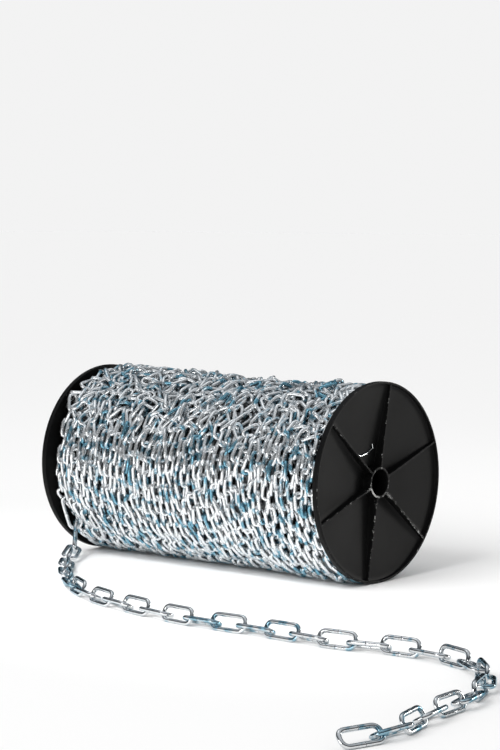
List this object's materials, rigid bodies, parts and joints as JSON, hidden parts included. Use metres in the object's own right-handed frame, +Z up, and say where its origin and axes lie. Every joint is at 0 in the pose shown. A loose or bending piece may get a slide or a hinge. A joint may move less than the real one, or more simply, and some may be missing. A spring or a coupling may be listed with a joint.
{
  "type": "reel of steel chain",
  "caption": "Black moulded reel wound full with zinc-plated steel link chain, lying on its two rims, its free end run out along the floor.",
  "frame": {"origin": "on the floor, under the middle of the whole object's box", "axes": "+X runs along the reel's axis from the left flange to the right one, +Z is up, and the free end lies on the -Y side"},
  "size_m": [0.9672, 0.8192, 0.2493],
  "materials": {
    "black_plastic": "satin moulded black plastic with worn rib edges",
    "zinc_plated_steel": "bright blue-white zinc plate"
  },
  "bodies": {
    "root": {"flange_left": "black_plastic", "flange_right": "black_plastic", "core_tube": "black_plastic", "wound_chain": "zinc_plated_steel", "tie_wire": "zinc_plated_steel", "link_01": "zinc_plated_steel", "link_02": "zinc_plated_steel", "link_03": "zinc_plated_steel", "link_04": "zinc_plated_steel", "link_05": "zinc_plated_steel", "link_06": "zinc_plated_steel", "link_07": "zinc_plated_steel", "link_08": "zinc_plated_steel", "link_09": "zinc_plated_steel", "link_10": "zinc_plated_steel", "link_11": "zinc_plated_steel", "link_12": "zinc_plated_steel", "link_13": "zinc_plated_steel", "link_14": "zinc_plated_steel", "link_15": "zinc_plated_steel", "link_16": "zinc_plated_steel", "link_17": "zinc_plated_steel", "link_18": "zinc_plated_steel", "link_19": "zinc_plated_steel", "link_20": "zinc_plated_steel", "link_21": "zinc_plated_steel", "link_22": "zinc_plated_steel", "link_23": "zinc_plated_steel", "link_24": "zinc_plated_steel", "link_25": "zinc_plated_steel", "link_26": "zinc_plated_steel", "link_27": "zinc_plated_steel", "link_28": "zinc_plated_steel", "link_29": "zinc_plated_steel", "link_30": "zinc_plated_steel", "link_31": "zinc_plated_steel", "link_32": "zinc_plated_steel", "link_33": "zinc_plated_steel", "link_34": "zinc_plated_steel", "link_35": "zinc_plated_steel", "link_36": "zinc_plated_steel"}
  },
  "joints": []
}
